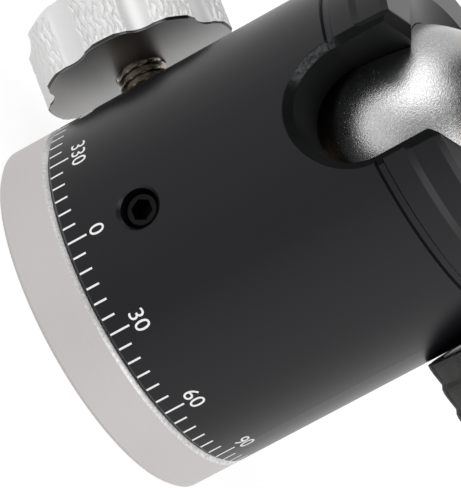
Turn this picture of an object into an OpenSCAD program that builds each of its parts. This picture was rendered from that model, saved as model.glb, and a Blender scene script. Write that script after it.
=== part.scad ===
// Tripod ball head: panning base, notched housing, locking ball and quick-release clamp.
// Millimetres, +Z up. The origin is the centre of the underside, at the mouth of the tripod socket.
// The drop notch faces -Y. An azimuth is counted from the notch, positive towards +X.

/* [Fits] */
// Running clearance of a turning or sliding fit, on the radius
run_fit = 0.05; // [0.03:0.01:0.08]
// Clearance of a pressed or screwed joint inside one body, on the radius
press_fit = 0.02; // [0.01:0.005:0.03]
// Free gap between pieces that move past each other
free_gap = 0.3; // [0.25:0.05:0.4]

/* [Base] */
// Diameter of the base disc and of the housing
body_d = 56; // [54:0.5:60]
// Height of the base disc
disc_h = 8.4; // [7:0.2:10]
// Chamfer round the base disc
disc_chamfer = 0.6; // [0.4:0.1:1]
// Diameter of the hub that the housing turns on
hub_d = 36; // [34:0.5:36.5]
// Depth of the brake groove in the hub
hub_groove = 2.5; // [2:0.1:3.5]
// Height of the collar over the brake groove
hub_collar = 4; // [3:0.5:5]
// Minor diameter of the 3/8 inch tripod socket
socket_d = 7.94; // [7.9:0.02:8]
// Outer diameter of the socket bushing
bushing_d = 16; // [14:0.5:20]
// Depth of the tripod socket
socket_depth = 14; // [10:0.5:16]
// Thickness of the thrust washer
washer_t = 1.2; // [1:0.1:1.6]
// Outer diameter of the thrust washer
washer_d = 50; // [48:0.5:51]
// Width of the thrust washer's ring
washer_w = 4.2; // [3.5:0.1:4.4]
// Wall of the bronze sleeve
sleeve_wall = 2; // [1.6:0.1:2.2]
// Height of the bronze sleeve
sleeve_h = 5.4; // [4:0.2:5.8]

/* [Ball] */
// Diameter of the ball
ball_d = 36; // [34:0.5:36.5]
// Height of the ball's centre
ball_z = 55.2; // [54:0.2:58]
// Diameter of the stem
stem_d = 15; // [12:0.5:15.5]
// Gap between the side of the housing and the flange when the stem drops into the notch
flange_gap = 1.4; // [1:0.1:3]
// Diameter of the flange on the stem
flange_d = 30; // [26:1:34]
// Thickness of the flange
flange_t = 3; // [2.5:0.25:4]
// Diameter of the spigot that centres the clamp
spigot_d = 16; // [12:0.5:18]
// Height of the spigot
spigot_h = 2; // [1.5:0.25:2.5]

/* [Housing] */
// Height of the rim over the ball's centre
rim_over_ball = 10.15; // [9.5:0.1:11]
// Depth of the conical rim over the lip
funnel_depth = 2; // [1.6:0.1:3.6]
// Diameter of the conical rim at the top
funnel_d = 39.4; // [39:0.2:43]
// Gap between the socket and the ball
socket_gap = 0.15; // [0.1:0.05:0.2]
// Height of the collar round the rim
collar_h = 5.4; // [4.8:0.1:6]
// How far the collar is set in from the housing, on the radius
collar_in = 0.5; // [0.3:0.1:0.8]
// Width of the groove round the housing
groove_w = 1.5; // [1.2:0.1:2]
// Depth of the groove
groove_depth = 0.5; // [0.3:0.1:0.8]
// Height of the groove's centre over the ball's centre
groove_rise = 0.75; // [0.5:0.05:1]
// Width of the drop notch
notch_w = 17.7; // [17:0.1:19]
// Height of the centre of the notch's round end over the ball's centre
notch_rise = 0.5; // [0:0.1:1]
// Chamfer round the drop notch
notch_chamfer = 1.25; // [0.8:0.05:1.5]

/* [Ball seat] */
// Wall of the ball cup
cup_wall = 2; // [1.6:0.1:2.2]
// Half angle that the ball cup spans
cup_angle = 36; // [30:1:36]
// Thickness of the seat plate
plate_t = 4.5; // [3.5:0.25:4.5]
// Height of one disc spring
spring_h = 1.3; // [1:0.1:1.3]
// Thickness of one disc spring
spring_t = 0.8; // [0.5:0.1:0.9]

/* [Pan lock] */
// Height of the pan lock's axis
pan_z = 19.4; // [19:0.2:20.4]
// Azimuth of the pan lock
pan_azimuth = -90; // [-100:5:-80]
// Diameter of the lock studs
stud_d = 8; // [6:0.5:8]
// Free length of stud between the housing and the pan knob
pan_reach = 4.94; // [3:0.2:7]
// Diameter of the pan knob over its lobes
pan_knob_d = 29.4; // [26:0.5:32]
// Thickness of the pan knob
pan_knob_t = 10.5; // [9:0.5:14]
// Flutes round the pan knob
pan_flutes = 8; // [6:1:10]
// Depth of the flutes
flute_depth = 1.6; // [1:0.1:2.2]
// Radius of the flutes
flute_r = 3.5; // [2.5:0.25:4]
// Depth of the wide hollows that ease the shoulders of the flutes
relief_depth = 1; // [0.6:0.1:1.2]
// Radius of these hollows
relief_r = 20; // [14:1:26]
// Turn of the flutes about the knob's axis
flute_turn = 5; // [0:1:22]
// Chamfer of the knob's outer edge
knob_chamfer = 1.2; // [0.6:0.1:1.6]
// Chamfer of the edge that faces the housing
knob_bevel = 0.8; // [0.3:0.1:1.2]
// Diameter of the plug in the knob's face
plug_d = 12; // [10:0.5:16]
// Diameter of the tip of the brake pad
pad_tip_d = 6; // [4:0.5:6]

/* [Guide screws] */
// Height of the guide screws
guide_z = 21; // [20.6:0.2:22]
// Diameter of the guide screws
guide_d = 6; // [5:0.5:6]
// Diameter of their tips, which run in the hub's groove
guide_tip_d = 3.6; // [3:0.2:4]
// How deep the heads sit under the surface
guide_recess = 1.3; // [0.5:0.1:2]
// Bevel round the heads
guide_bevel = 0.7; // [0.4:0.1:1]
// Azimuth of the first guide screw
guide_azimuth = -1.2; // [-5:0.1:5]
// Width across the flats of the hexagon socket
hex_w = 3; // [2.5:0.1:3.2]
// Depth of the hexagon socket
hex_depth = 3; // [2:0.25:3.5]

/* [Main lock] */
// Azimuth of the main lock
main_azimuth = 114; // [105:1:135]
// How far its axis lies below the ball's centre
main_drop = 0.8; // [0.6:0.1:3]
// Diameter of the brake shoe and of its bore in the housing
shoe_d = 13.8; // [12:0.2:14]
// Thickness of the brake shoe at its rim
shoe_t = 3.2; // [2.8:0.1:3.6]
// Depth of the lock bushing
bushing_t = 4.7; // [4:0.1:4.8]
// Gap between the housing and the main knob
main_gap = 0.35; // [0.3:0.05:0.8]
// Diameter of the main knob
main_knob_d = 27; // [26:0.5:32]
// Length of the main knob
main_knob_l = 19; // [17:0.5:24]
// Thickness of the rubber grip
grip_t = 2.4; // [2:0.1:3]
// How much slimmer the grip gets towards its end, on the radius
grip_taper = 0.5; // [0:0.1:0.8]
// Distance between the rows of ribs
rib_pitch = 4.1; // [3.5:0.1:5]
// Height of the ribs
rib_h = 0.4; // [0.3:0.1:0.8]
// Grooves along the grip
grip_grooves = 12; // [10:1:16]

/* [Clamp] */
// Length of the clamp
clamp_l = 50; // [44:1:60]
// Width of the camera plate's dovetail
plate_w = 38; // [37.8:0.1:38.4]
// Height of the deck over the clamp's underside
deck_h = 8.5; // [8.5:0.25:10]
// Height of the 45 degree undercut
undercut_h = 3; // [2.6:0.1:3.4]
// Height of a jaw over the deck
jaw_h = 5.6; // [5.2:0.2:7]
// Thickness of a jaw at its root
jaw_t = 7.8; // [7:0.2:9]
// Distance from the stem's axis to the joint between the body and the sliding jaw
joint_y = 15; // [14:0.25:15.5]
// Diameter of the guide pins
pin_d = 4; // [3:0.25:4]
// Distance between the guide pins
pin_pitch = 36; // [32:1:38]
// Diameter of the clamp screw
clamp_screw_d = 6; // [5:0.25:6]
// Diameter of the clamp knob
clamp_knob_d = 19; // [16:0.5:20]
// Thickness of the clamp knob
clamp_knob_t = 12; // [9:0.5:15]
// Diameter of the bubble level
level_d = 6; // [5:0.25:6]
// Depth of the bubble level
level_depth = 4; // [3:0.25:5]

/* [Hidden] */

$fn = 96;
eps = 0.01;                 // tiny overlap of shapes that are joined or cut
past = 1;                   // how far a cutter runs past a face
cutter_start = 0.2;         // how far inside the notch the cutter of its chamfer starts
small_edge = 0.3;           // chamfers of small pieces
pin_edge = 0.4;
screw_edge = 0.5;
knob_edge = 1;

body_r = body_d / 2;
hub_r = hub_d / 2;
stud_r = stud_d / 2;

// Heights of the base and the lower chamber
housing_bottom = disc_h + free_gap;
recess_top = disc_h + washer_t + run_fit;
sleeve_z = recess_top + free_gap;
sleeve_r = hub_r + run_fit + sleeve_wall;
chamber_r = sleeve_r + press_fit;
recess_r = washer_d / 2 + free_gap;
groove_low = pan_z - pad_tip_d / 2 - free_gap;
guide_play = 0.1;           // play of the guide screws' tips along the axis
groove_high = guide_z + guide_tip_d / 2 + run_fit + guide_play;
hub_top = groove_high + hub_collar;
groove_floor = hub_r - hub_groove;
hub_edge = 0.5;

// Ball socket
ball_r = ball_d / 2;
bore_r = ball_r + 2 * free_gap;
socket_r = ball_r + socket_gap;
rim_z = ball_z + rim_over_ball;
lip_z = rim_z - funnel_depth;
rim_edge = 0.9;             // chamfer at the outside of the rim, high and wide
rim_edge_in = 0.5;
collar_step = 0.9;          // height of the bevel under the collar
collar_lean = 0.15;         // how far the collar leans in towards the rim
groove_flank = 0.3;         // height of each sloping side of the groove
groove_z = ball_z + groove_rise;
notch_r = notch_w / 2;
notch_z = ball_z + notch_rise;

// Ball seat, from the threaded plate upwards
thread_depth = 1;           // height of the seat plate's thread
thread_r = bore_r + thread_depth;
plate_z = hub_top + free_gap * 2;
spring_z = plate_z + plate_t;
ring_z = spring_z + 2 * spring_h;
cup_in = ball_r + run_fit;
cup_out = cup_in + cup_wall;
ring_seat = cup_out + run_fit;
ring_rise = 5;              // how far the ring reaches up beside the cup
ring_h = ball_z - ring_seat + ring_rise - ring_z;
ring_hole = 5;
cup_hole = 4;
disc_in = 6.5;
disc_out = 13;
spanner_x = 12;             // spanner holes in the seat plate
spanner_r = 1.5;
spanner_depth = 3;

// Stem and platform
neck_r = stem_d / 2;
neck_flare = 1;
flange_z = ball_z + body_r + flange_gap;
flange_top = flange_z + flange_t;
clamp_z = flange_top + run_fit;
fixing_r = 3;               // M6 fixing screw of the clamp
fixing_head_r = 5.8;
fixing_depth = 12;

// Pan lock, distances along its axis from the centre of the housing
pad_tip = groove_floor + free_gap;
pad_step = chamber_r + free_gap;
pad_foot = 3;
pad_end = pad_step + pad_foot;
pan_knob_at = body_r + pan_reach;
stud_in_knob = 7;
plug_t = 1.6;

// Main lock, distances along its axis from the centre of the housing
main_z = ball_z - main_drop;
shoe_bore = shoe_d / 2 + run_fit + press_fit;
shoe_back = 0.5;            // thickness of the shoe behind its rim
shoe_end = ball_r + free_gap + shoe_t + shoe_back;
stud_end_wall = 4;          // core left in front of the main stud
bushing_at = shoe_end + 4 * free_gap;
grip_at = body_r + main_gap;
cap_t = 1.5;
cap_inset = 0.6;
grip_l = main_knob_l - cap_t;
rib_cut = 0.5;              // length of the first rib that the end of the grip cuts off
rib_samples = 6;            // points along one rib
core_r = main_knob_d / 2 - grip_t;
main_stud_end = grip_at + main_knob_l - stud_end_wall;

// Clamp
deck_z = clamp_z + deck_h;
plate_play = 0.2;           // play of the camera plate on each side of the open jaws
jaw_face = plate_w / 2 + plate_play;
jaw_back = jaw_face + jaw_t;
jaw_top = deck_z + jaw_h;
lip_face = jaw_face - undercut_h;
screw_z = clamp_z + deck_h / 2;
pin_depth = 20;
pin_reach = 8.5;
spring_pocket = 5;
spring_x = 9;
spring_coil_r = 2;
spring_wire = 0.5;
spring_play = 0.1;
spring_hole_r = spring_coil_r + spring_wire + spring_play;
spring_turns = 5;
screw_end = spigot_d / 2 + 2 * free_gap;
clamp_washer_t = 1;
clamp_knob_at = jaw_back + run_fit + clamp_washer_t;
clamp_knob_end = 3;         // solid end of the clamp knob beyond its screw
clamp_flutes = 6;
clamp_flute_depth = 1.2;
clamp_flute_r = 2.5;
jaw_bevel = 1.6;
jaw_step = 0.1;             // the sliding jaw is this much lower and higher than the body
level_inset = 9;            // level's distance from the end of the clamp
fixing_cone = 3.6;          // height of the countersink for the fixing screw
fixing_sink = 0.5;          // how far its head sits under the deck
fixing_hex_w = 4;
fixing_hex_depth = 2.5;

// Draws its children with their +Z pointing outwards along an azimuth, at a height
module outward(azimuth, z) {
    translate([0, 0, z])
        rotate([90, 0, azimuth])
            children();
}

// A ring or tube along +Z
module tube(r_in, r_out, h) {
    difference() {
        cylinder(r = r_out, h = h);
        translate([0, 0, -past])
            cylinder(r = r_in, h = h + 2 * past);
    }
}

// A hexagon socket, by its width across the flats
module hexagon(width, depth) {
    cylinder(d = width / cos(30), h = depth, $fn = 6);
}

// A cylinder with both edges chamfered
module chamfered(r, h, low, high) {
    rotate_extrude()
        polygon([[0, 0], [r - low, 0], [r, low], [r, h - high], [r - high, h], [0, h]]);
}

// ---------------------------------------------------------------- base

module base_plate() {
    color("silver")
    difference() {
        union() {
            chamfered(body_r, disc_h, disc_chamfer, disc_chamfer);
            translate([0, 0, disc_h - eps])
                rotate_extrude()
                    polygon([
                        [0, 0], [hub_r, 0],
                        [hub_r, groove_low - disc_h], [groove_floor, groove_low - disc_h],
                        [groove_floor, groove_high - disc_h], [hub_r, groove_high - disc_h],
                        [hub_r, hub_top - disc_h - hub_edge], [hub_r - hub_edge, hub_top - disc_h],
                        [0, hub_top - disc_h]
                    ]);
        }
        translate([0, 0, -past])
            cylinder(d = bushing_d + 2 * press_fit, h = socket_depth + past);
    }
}

module base_bushing() {
    color("dimgray")
    tube(socket_d / 2, bushing_d / 2, socket_depth);
}

module pan_washer() {
    color("ivory")
    translate([0, 0, disc_h])
        tube(washer_d / 2 - washer_w, washer_d / 2, washer_t);
}

// ------------------------------------------------------------- housing

// Outline of the notch, grown by a margin: a round end below and straight sides up to the top
module notch_outline(grow) {
    circle(r = notch_r + grow);
    translate([-notch_r - grow, 0])
        square([2 * (notch_r + grow), rim_z - notch_z + past]);
}

// Half width of the grown notch at one step of its round end, and the height of that step
function notch_half(grow, step) = (notch_r + grow) * cos(step);
function notch_level(grow, step) = notch_z + (notch_r + grow) * sin(step);

// One pair of points of the notch, left and right, on a cylinder round the housing's axis
function notch_pair(grow, radius, x, z) =
    [[-x, -sqrt(radius * radius - x * x), z], [x, -sqrt(radius * radius - x * x), z]];

// Cutter for the even chamfer where the notch leaves the round side of the housing
module notch_chamfer_cutter() {
    inner = -cutter_start;
    outer = notch_chamfer + past;
    inner_radius = body_r - notch_chamfer + inner;
    outer_radius = body_r + past;
    steps = [for (a = [-84:6:0]) a];
    rows = len(steps) + 1;
    function ring(grow, radius) = [
        for (a = steps) each notch_pair(grow, radius, notch_half(grow, a), notch_level(grow, a)),
        each notch_pair(grow, radius, notch_r + grow, rim_z + past)
    ];
    points = concat(ring(inner, inner_radius), ring(outer, outer_radius));
    half = 2 * rows;
    quads = concat(
        [for (i = [0:2:half - 4]) [i + 2, i + 3, i + 1, i]],
        [for (i = [0:2:half - 4]) [half + i, half + i + 1, half + i + 3, half + i + 2]],
        [for (i = [0:2:half - 4]) [i, half + i, half + i + 2, i + 2]],
        [for (i = [0:2:half - 4]) [i + 1, i + 3, half + i + 3, half + i + 1]],
        [[0, 1, half + 1, half], [half - 2, 2 * half - 2, 2 * half - 1, half - 1]]
    );
    polyhedron(points = points, faces = [
        for (q = quads) each [[q[0], q[1], q[2]], [q[0], q[2], q[3]]]
    ]);
}

module housing_outside() {
    low = housing_bottom;
    collar_z = rim_z - collar_h;
    collar_r = body_r - collar_in;
    groove_in = body_r - groove_depth;
    groove_half = groove_w / 2;
    rotate_extrude()
        polygon([
            [0, low], [body_r - pin_edge, low], [body_r, low + pin_edge],
            [body_r, groove_z - groove_half], [groove_in, groove_z - groove_half + groove_flank],
            [groove_in, groove_z + groove_half - groove_flank], [body_r, groove_z + groove_half],
            [body_r, collar_z], [collar_r, collar_z + collar_step],
            [collar_r - collar_lean, rim_z - rim_edge],
            [collar_r - collar_lean - rim_edge_in, rim_z], [0, rim_z]
        ]);
}

// Washer recess, hub chamber, plate thread, ball bore, socket and conical rim in one profile
module housing_inside() {
    lip_angle = asin((lip_z - ball_z) / socket_r);
    arc_steps = 6;
    rotate_extrude()
        polygon(concat(
            [
                [0, housing_bottom - past], [recess_r, housing_bottom - past],
                [recess_r, recess_top], [chamber_r, recess_top],
                [chamber_r, plate_z], [thread_r + press_fit, plate_z],
                [thread_r + press_fit, spring_z], [bore_r, spring_z], [bore_r, ball_z]
            ],
            [for (i = [0:arc_steps])
                [socket_r * cos(i * lip_angle / arc_steps),
                 ball_z + socket_r * sin(i * lip_angle / arc_steps)]],
            [[funnel_d / 2, rim_z], [funnel_d / 2, rim_z + past], [0, rim_z + past]]
        ));
}

module notch_cut() {
    rotate([90, 0, 0])
        linear_extrude(height = body_r + past)
            translate([0, notch_z])
                notch_outline(0);
    notch_chamfer_cutter();
    // the two top edges of the notch
    rotate([90, 0, 0])
        linear_extrude(height = body_r + past)
            polygon([
                [-notch_r, rim_z - notch_chamfer], [-notch_r - notch_chamfer - past, rim_z + past],
                [notch_r + notch_chamfer + past, rim_z + past], [notch_r, rim_z - notch_chamfer]
            ]);
}

module guide_places() {
    for (turn = [0, 120, 240])
        outward(guide_azimuth + turn, guide_z)
            children();
}

module housing() {
    color([0.14, 0.14, 0.15])
    difference() {
        housing_outside();
        housing_inside();
        notch_cut();
        guide_places() {
            translate([0, 0, groove_floor])
                cylinder(r = guide_d / 2 + press_fit, h = body_r - groove_floor + past);
            translate([0, 0, body_r - screw_edge])
                cylinder(r1 = guide_d / 2 + press_fit, r2 = guide_d / 2 + screw_edge + past,
                    h = screw_edge + past);
        }
        outward(pan_azimuth, pan_z)
            translate([0, 0, hub_r])
                cylinder(r = stud_r + run_fit, h = body_r - hub_r + past);
        outward(main_azimuth, main_z)
            translate([0, 0, ball_r / 2])
                cylinder(r = shoe_bore, h = body_r - ball_r / 2 + past);
    }
}

module pan_sleeve() {
    color("peru")
    translate([0, 0, sleeve_z])
        tube(hub_r + run_fit, sleeve_r, sleeve_h);
}

module guide_screws() {
    color("dimgray")
    guide_places()
        difference() {
            union() {
                translate([0, 0, groove_floor + free_gap])
                    cylinder(d = guide_tip_d, h = body_r - groove_floor - free_gap - guide_recess - eps);
                translate([0, 0, chamber_r + free_gap])
                    chamfered(guide_d / 2, body_r - guide_recess - chamber_r - free_gap,
                        pin_edge, guide_bevel);
            }
            translate([0, 0, body_r - guide_recess - hex_depth])
                hexagon(hex_w, hex_depth + past);
        }
}

// -------------------------------------------------------------- ball seat

module seat_plate() {
    color("gray")
    translate([0, 0, plate_z])
        difference() {
            tube(ring_hole, thread_r, plate_t);
            for (side = [-1, 1])
                translate([side * spanner_x, 0, -past])
                    cylinder(r = spanner_r, h = spanner_depth + past);
        }
}

module disc_springs() {
    color("darkgray")
    translate([0, 0, spring_z])
        for (flip = [0, 1])
            translate([0, 0, flip * 2 * spring_h])
                mirror([0, 0, flip])
                    rotate_extrude()
                        polygon([
                            [disc_out, 0], [disc_out, spring_t],
                            [disc_in, spring_h], [disc_in, spring_h - spring_t]
                        ]);
}

module thrust_ring() {
    color("goldenrod")
    difference() {
        translate([0, 0, ring_z])
            tube(ring_hole, bore_r - run_fit, ring_h);
        translate([0, 0, ball_z])
            sphere(r = ring_seat);
    }
}

module ball_cup() {
    color("ivory")
    translate([0, 0, ball_z])
        difference() {
            sphere(r = cup_out);
            sphere(r = cup_in);
            translate([0, 0, -cup_out * cos(cup_angle)])
                cylinder(r = 2 * cup_out, h = 3 * cup_out);
            translate([0, 0, -2 * cup_out])
                cylinder(r = cup_hole, h = 2 * cup_out);
        }
}

// --------------------------------------------------------- ball and stem

module ball_stem() {
    color([0.75, 0.75, 0.75])
    difference() {
        union() {
            translate([0, 0, ball_z])
                sphere(r = ball_r);
            translate([0, 0, ball_z])
                cylinder(r = neck_r, h = flange_z - ball_z + eps);
            translate([0, 0, flange_z - neck_flare])
                cylinder(r1 = neck_r, r2 = neck_r + neck_flare, h = neck_flare + eps);
            translate([0, 0, flange_z])
                chamfered(flange_d / 2, flange_t, knob_edge, small_edge);
            translate([0, 0, flange_top - eps])
                chamfered(spigot_d / 2, spigot_h + eps, 0, small_edge);
        }
        translate([0, 0, flange_top + spigot_h - fixing_depth])
            cylinder(r = fixing_r + press_fit, h = fixing_depth + past);
    }
}

// --------------------------------------------------------------- pan lock

module pan_pad() {
    color("ivory")
    outward(pan_azimuth, pan_z) {
        translate([0, 0, pad_tip])
            chamfered(pad_tip_d / 2, pad_step - pad_tip + eps, pin_edge, 0);
        translate([0, 0, pad_step])
            cylinder(r = stud_r - run_fit, h = pad_end - pad_step);
    }
}

module pan_stud() {
    color([0.35, 0.33, 0.32])
    outward(pan_azimuth, pan_z)
        translate([0, 0, pad_end + run_fit])
            chamfered(stud_r, pan_knob_at + stud_in_knob - pad_end - run_fit,
                screw_edge, screw_edge);
}

// Hollows of one radius, cut to a depth all round the side of a knob along +Z
module hollows(d, h, count, depth, radius) {
    for (i = [0:count - 1])
        rotate([0, 0, (i + 0.5) * 360 / count])
            translate([d / 2 - depth + radius, 0, -past])
                cylinder(r = radius, h = h + 2 * past);
}

module pan_knob() {
    color("gainsboro")
    outward(pan_azimuth, pan_z)
        translate([0, 0, pan_knob_at])
            difference() {
                chamfered(pan_knob_d / 2, pan_knob_t, knob_bevel, knob_chamfer);
                rotate([0, 0, flute_turn]) {
                    hollows(pan_knob_d, pan_knob_t, pan_flutes, flute_depth, flute_r);
                    hollows(pan_knob_d, pan_knob_t, pan_flutes, relief_depth, relief_r);
                }
                translate([0, 0, -past])
                    cylinder(r = stud_r + press_fit, h = stud_in_knob + past + free_gap);
                translate([0, 0, pan_knob_t - plug_t])
                    cylinder(r = plug_d / 2 + press_fit, h = plug_t + past);
            }
}

module pan_knob_cap() {
    color("silver")
    outward(pan_azimuth, pan_z)
        translate([0, 0, pan_knob_at + pan_knob_t - plug_t])
            chamfered(plug_d / 2, plug_t, 0, small_edge);
}

// -------------------------------------------------------------- main lock

module brake_shoe() {
    color("goldenrod")
    difference() {
        outward(main_azimuth, main_z)
            translate([0, 0, ball_r / 2])
                chamfered(shoe_d / 2, shoe_end - ball_r / 2, 0, pin_edge);
        translate([0, 0, ball_z])
            sphere(r = ball_r + free_gap);
    }
}

module lock_bushing() {
    color("dimgray")
    outward(main_azimuth, main_z)
        translate([0, 0, bushing_at])
            tube(stud_r + run_fit, shoe_bore - press_fit, bushing_t);
}

module main_stud() {
    color([0.35, 0.33, 0.32])
    outward(main_azimuth, main_z)
        translate([0, 0, shoe_end + run_fit])
            chamfered(stud_r, main_stud_end - shoe_end - run_fit, screw_edge, screw_edge);
}

module main_knob_core() {
    color([0.12, 0.12, 0.13])
    outward(main_azimuth, main_z)
        translate([0, 0, grip_at])
            difference() {
                chamfered(core_r, main_knob_l - cap_t, small_edge, 0);
                translate([0, 0, -past])
                    cylinder(r = stud_r + press_fit, h = main_stud_end - grip_at + past + free_gap);
            }
}

// Height of the ribs at one place along the grip: each rises steeply and falls off slowly
function rib_at(z) = rib_h * sin(180 * sqrt((z + rib_cut) % rib_pitch / rib_pitch));

// Rubber sleeve: rounded ribs round its slim cone, cut into pads by grooves along it
module main_knob_grip() {
    step = rib_pitch / rib_samples;
    lean = atan(grip_taper / grip_l);
    function side_at(z) = main_knob_d / 2 - rib_h + rib_at(z) - grip_taper * z / grip_l;
    color([0.25, 0.25, 0.26])
    outward(main_azimuth, main_z)
        translate([0, 0, grip_at])
            difference() {
                rotate_extrude()
                    polygon(concat(
                        [[core_r + press_fit, 0]],
                        [for (z = [0:step:grip_l - step / 2]) [side_at(z), z]],
                        [[side_at(grip_l), grip_l], [core_r + press_fit, grip_l]]
                    ));
                for (i = [0:grip_grooves - 1])
                    rotate([0, 0, i * 360 / grip_grooves])
                        translate([main_knob_d / 2 + pin_edge, 0, 0])
                            rotate([0, -lean, 0])
                                translate([0, 0, -past])
                                    cylinder(r = rib_h + pin_edge, h = grip_l + 2 * past, $fn = 24);
            }
}

module main_knob_cap() {
    color([0.12, 0.12, 0.13])
    outward(main_azimuth, main_z)
        translate([0, 0, grip_at + main_knob_l - cap_t])
            chamfered(main_knob_d / 2 - grip_taper - cap_inset, cap_t, 0, cap_inset);
}

// ------------------------------------------------------------------ clamp

// Section of a jaw on the +Y side above the deck: root, undercut, lip and sloping back
function jaw_points() = [
    [jaw_face, deck_z], [lip_face, deck_z + undercut_h], [lip_face, jaw_top - jaw_bevel],
    [lip_face + jaw_bevel, jaw_top], [jaw_back - jaw_bevel, jaw_top], [jaw_back, jaw_top - jaw_bevel]
];

// Draws a section in Y and Z along the whole clamp
module along_clamp() {
    translate([-clamp_l / 2, 0, 0])
        rotate([90, 0, 90])
            linear_extrude(height = clamp_l)
                children();
}

module clamp_base() {
    color([0.15, 0.15, 0.16])
    difference() {
        along_clamp()
            polygon(concat(
                [for (p = jaw_points()) [-p[0], p[1]]],
                [
                    [-jaw_back, clamp_z + knob_edge], [-jaw_back + knob_edge, clamp_z],
                    [joint_y, clamp_z], [joint_y, deck_z]
                ]
            ));
        translate([0, 0, clamp_z - past])
            cylinder(r = spigot_d / 2 + run_fit, h = spigot_h + free_gap + past);
        translate([0, 0, clamp_z])
            cylinder(r = fixing_r + press_fit, h = deck_h + past);
        translate([0, 0, deck_z - fixing_cone])
            cylinder(r1 = fixing_r + press_fit, r2 = fixing_head_r + fixing_sink + press_fit,
                h = fixing_cone + eps);
        for (side = [-1, 1]) {
            translate([side * pin_pitch / 2, joint_y + past, screw_z])
                rotate([90, 0, 0])
                    cylinder(d = pin_d + 2 * press_fit, h = pin_depth + past + free_gap);
            translate([side * spring_x, joint_y + past, screw_z])
                rotate([90, 0, 0])
                    cylinder(r = spring_hole_r, h = spring_pocket + past);
        }
        translate([0, joint_y + past, screw_z])
            rotate([90, 0, 0])
                cylinder(r = clamp_screw_d / 2 + run_fit, h = joint_y - screw_end + past + free_gap);
        translate([clamp_l / 2 - level_inset, -(lip_face + jaw_back) / 2, jaw_top - level_depth])
            cylinder(r = level_d / 2 + press_fit, h = level_depth + past);
    }
}

module platform_screw() {
    head_h = fixing_head_r - fixing_r;
    top = deck_z - fixing_sink;
    foot = flange_top + spigot_h - fixing_depth + past;
    color("dimgray")
    difference() {
        union() {
            translate([0, 0, foot])
                cylinder(r = fixing_r, h = top - head_h - foot + eps);
            translate([0, 0, top - head_h])
                cylinder(r1 = fixing_r, r2 = fixing_head_r, h = head_h);
        }
        translate([0, 0, top - fixing_hex_depth])
            hexagon(fixing_hex_w, fixing_hex_depth + past);
    }
}

module guide_pins() {
    color("lightgray")
    for (side = [-1, 1])
        translate([side * pin_pitch / 2, joint_y + pin_reach, screw_z])
            rotate([90, 0, 0])
                chamfered(pin_d / 2, pin_depth + pin_reach, pin_edge, pin_edge);
}

module level_vial() {
    color([0.7, 0.85, 0.4])
    translate([clamp_l / 2 - level_inset, -(lip_face + jaw_back) / 2, jaw_top - level_depth])
        chamfered(level_d / 2, level_depth, 0, small_edge);
}

module clamp_jaw() {
    color([0.15, 0.15, 0.16])
    difference() {
        along_clamp()
            polygon(concat(
                [[joint_y + free_gap, clamp_z + jaw_step], [joint_y + free_gap, deck_z - jaw_step]],
                [[jaw_face, deck_z - jaw_step]],
                jaw_points(),
                [[jaw_back, clamp_z + knob_edge], [jaw_back - knob_edge, clamp_z + jaw_step]]
            ));
        for (side = [-1, 1]) {
            translate([side * pin_pitch / 2, joint_y, screw_z])
                rotate([-90, 0, 0])
                    cylinder(r = pin_d / 2 + run_fit, h = pin_reach + free_gap);
            translate([side * spring_x, joint_y, screw_z])
                rotate([-90, 0, 0])
                    cylinder(r = spring_hole_r, h = spring_pocket + free_gap);
        }
        translate([0, joint_y, screw_z])
            rotate([-90, 0, 0])
                cylinder(r = clamp_screw_d / 2 + run_fit, h = jaw_back - joint_y + past);
    }
}

// Points of one ring of a coil spring along +Z
function coil_ring(angle, radius, wire, rise, sides) = [
    for (k = [0:sides - 1])
        [(radius + wire * cos(k * 360 / sides)) * cos(angle),
         (radius + wire * cos(k * 360 / sides)) * sin(angle),
         rise + wire * sin(k * 360 / sides)]
];

// A coil spring of the given length along +Z, its wire swept round in short steps
module coil_spring(radius, wire, length, turns) {
    sides = 6;
    per_turn = 12;
    rings = turns * per_turn;
    climb = (length - 2 * wire) / rings;
    polyhedron(
        points = [
            for (i = [0:rings])
                each coil_ring(i * 360 / per_turn, radius, wire, wire + i * climb, sides)
        ],
        faces = concat(
            [[for (k = [0:sides - 1]) k]],
            [[for (k = [0:sides - 1]) rings * sides + sides - 1 - k]],
            [for (i = [0:rings - 1], k = [0:sides - 1]) each [
                [i * sides + k, (i + 1) * sides + k, (i + 1) * sides + (k + 1) % sides],
                [i * sides + k, (i + 1) * sides + (k + 1) % sides, i * sides + (k + 1) % sides]
            ]]
        )
    );
}

module jaw_springs() {
    length = 2 * spring_pocket + free_gap;
    color("lightgray")
    for (side = [-1, 1])
        translate([side * spring_x, joint_y - spring_pocket, screw_z])
            rotate([-90, 0, 0])
                coil_spring(spring_coil_r, spring_wire, length, spring_turns);
}

module clamp_screw() {
    color("dimgray")
    translate([0, screw_end, screw_z])
        rotate([-90, 0, 0])
            chamfered(clamp_screw_d / 2, clamp_knob_at + clamp_knob_t - clamp_knob_end - screw_end,
                screw_edge, screw_edge);
}

module clamp_washer() {
    color("lightgray")
    translate([0, jaw_back + run_fit, screw_z])
        rotate([-90, 0, 0])
            tube(clamp_screw_d / 2 + press_fit, clamp_knob_d / 2 - 3 * clamp_washer_t, clamp_washer_t);
}

module clamp_knob() {
    color("gainsboro")
    translate([0, clamp_knob_at, screw_z])
        rotate([-90, 0, 0])
            difference() {
                chamfered(clamp_knob_d / 2, clamp_knob_t, small_edge, knob_edge);
                hollows(clamp_knob_d, clamp_knob_t, clamp_flutes, clamp_flute_depth, clamp_flute_r);
                translate([0, 0, -past])
                    cylinder(r = clamp_screw_d / 2 + press_fit,
                        h = clamp_knob_t - clamp_knob_end + past + free_gap);
            }
}

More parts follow.
